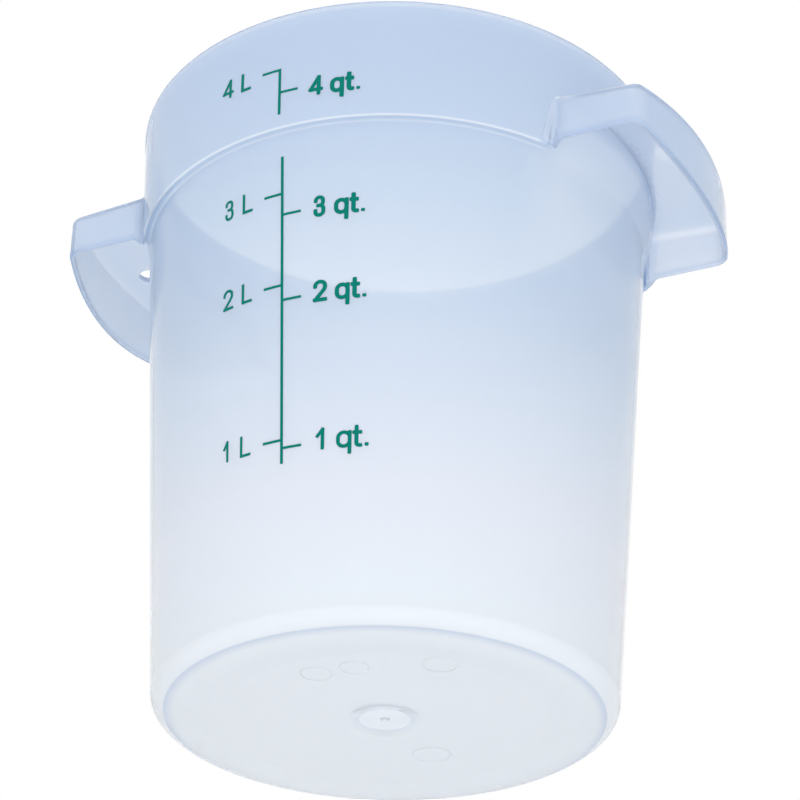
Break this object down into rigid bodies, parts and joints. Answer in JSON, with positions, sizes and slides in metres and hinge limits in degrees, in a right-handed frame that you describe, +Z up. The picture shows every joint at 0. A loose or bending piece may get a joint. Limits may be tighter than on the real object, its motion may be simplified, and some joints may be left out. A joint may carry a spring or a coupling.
{
  "type": "food storage container",
  "caption": "Round clear plastic food storage container with a stepped collar, a rim bead, hooded side handles and a printed volume scale.",
  "frame": {"origin": "the middle of the foot, on the surface that the container stands on", "axes": "+Z up along the tub's axis, +X through the right handle, -Y towards the printed scale"},
  "size_m": [0.2316, 0.184, 0.2203],
  "materials": {
    "clear_plastic": "clear moulded polypropylene, glossy and faintly milky, with a light blue cast",
    "green_ink": "screen-printed dark green ink"
  },
  "bodies": {
    "root": {"tub_floor": "clear_plastic", "foot_corner": "clear_plastic", "tub_wall": "clear_plastic", "ledge": "clear_plastic", "collar": "clear_plastic", "rim_bead": "clear_plastic", "handle_left": "clear_plastic", "handle_right": "clear_plastic", "scale_lower": "green_ink", "scale_upper": "green_ink", "numeral_1_litre": "green_ink", "numeral_1_quart": "green_ink", "unit_litre_1": "green_ink", "unit_quart_q_1": "green_ink", "unit_quart_t_1": "green_ink", "unit_quart_stop_1": "green_ink", "numeral_2_litre": "green_ink", "numeral_2_quart": "green_ink", "unit_litre_2": "green_ink", "unit_quart_q_2": "green_ink", "unit_quart_t_2": "green_ink", "unit_quart_stop_2": "green_ink", "numeral_3_litre": "green_ink", "numeral_3_quart": "green_ink", "unit_litre_3": "green_ink", "unit_quart_q_3": "green_ink", "unit_quart_t_3": "green_ink", "unit_quart_stop_3": "green_ink", "numeral_4_litre": "green_ink", "numeral_4_quart": "green_ink", "unit_litre_4": "green_ink", "unit_quart_q_4": "green_ink", "unit_quart_t_4": "green_ink", "unit_quart_stop_4": "green_ink"}
  },
  "joints": []
}
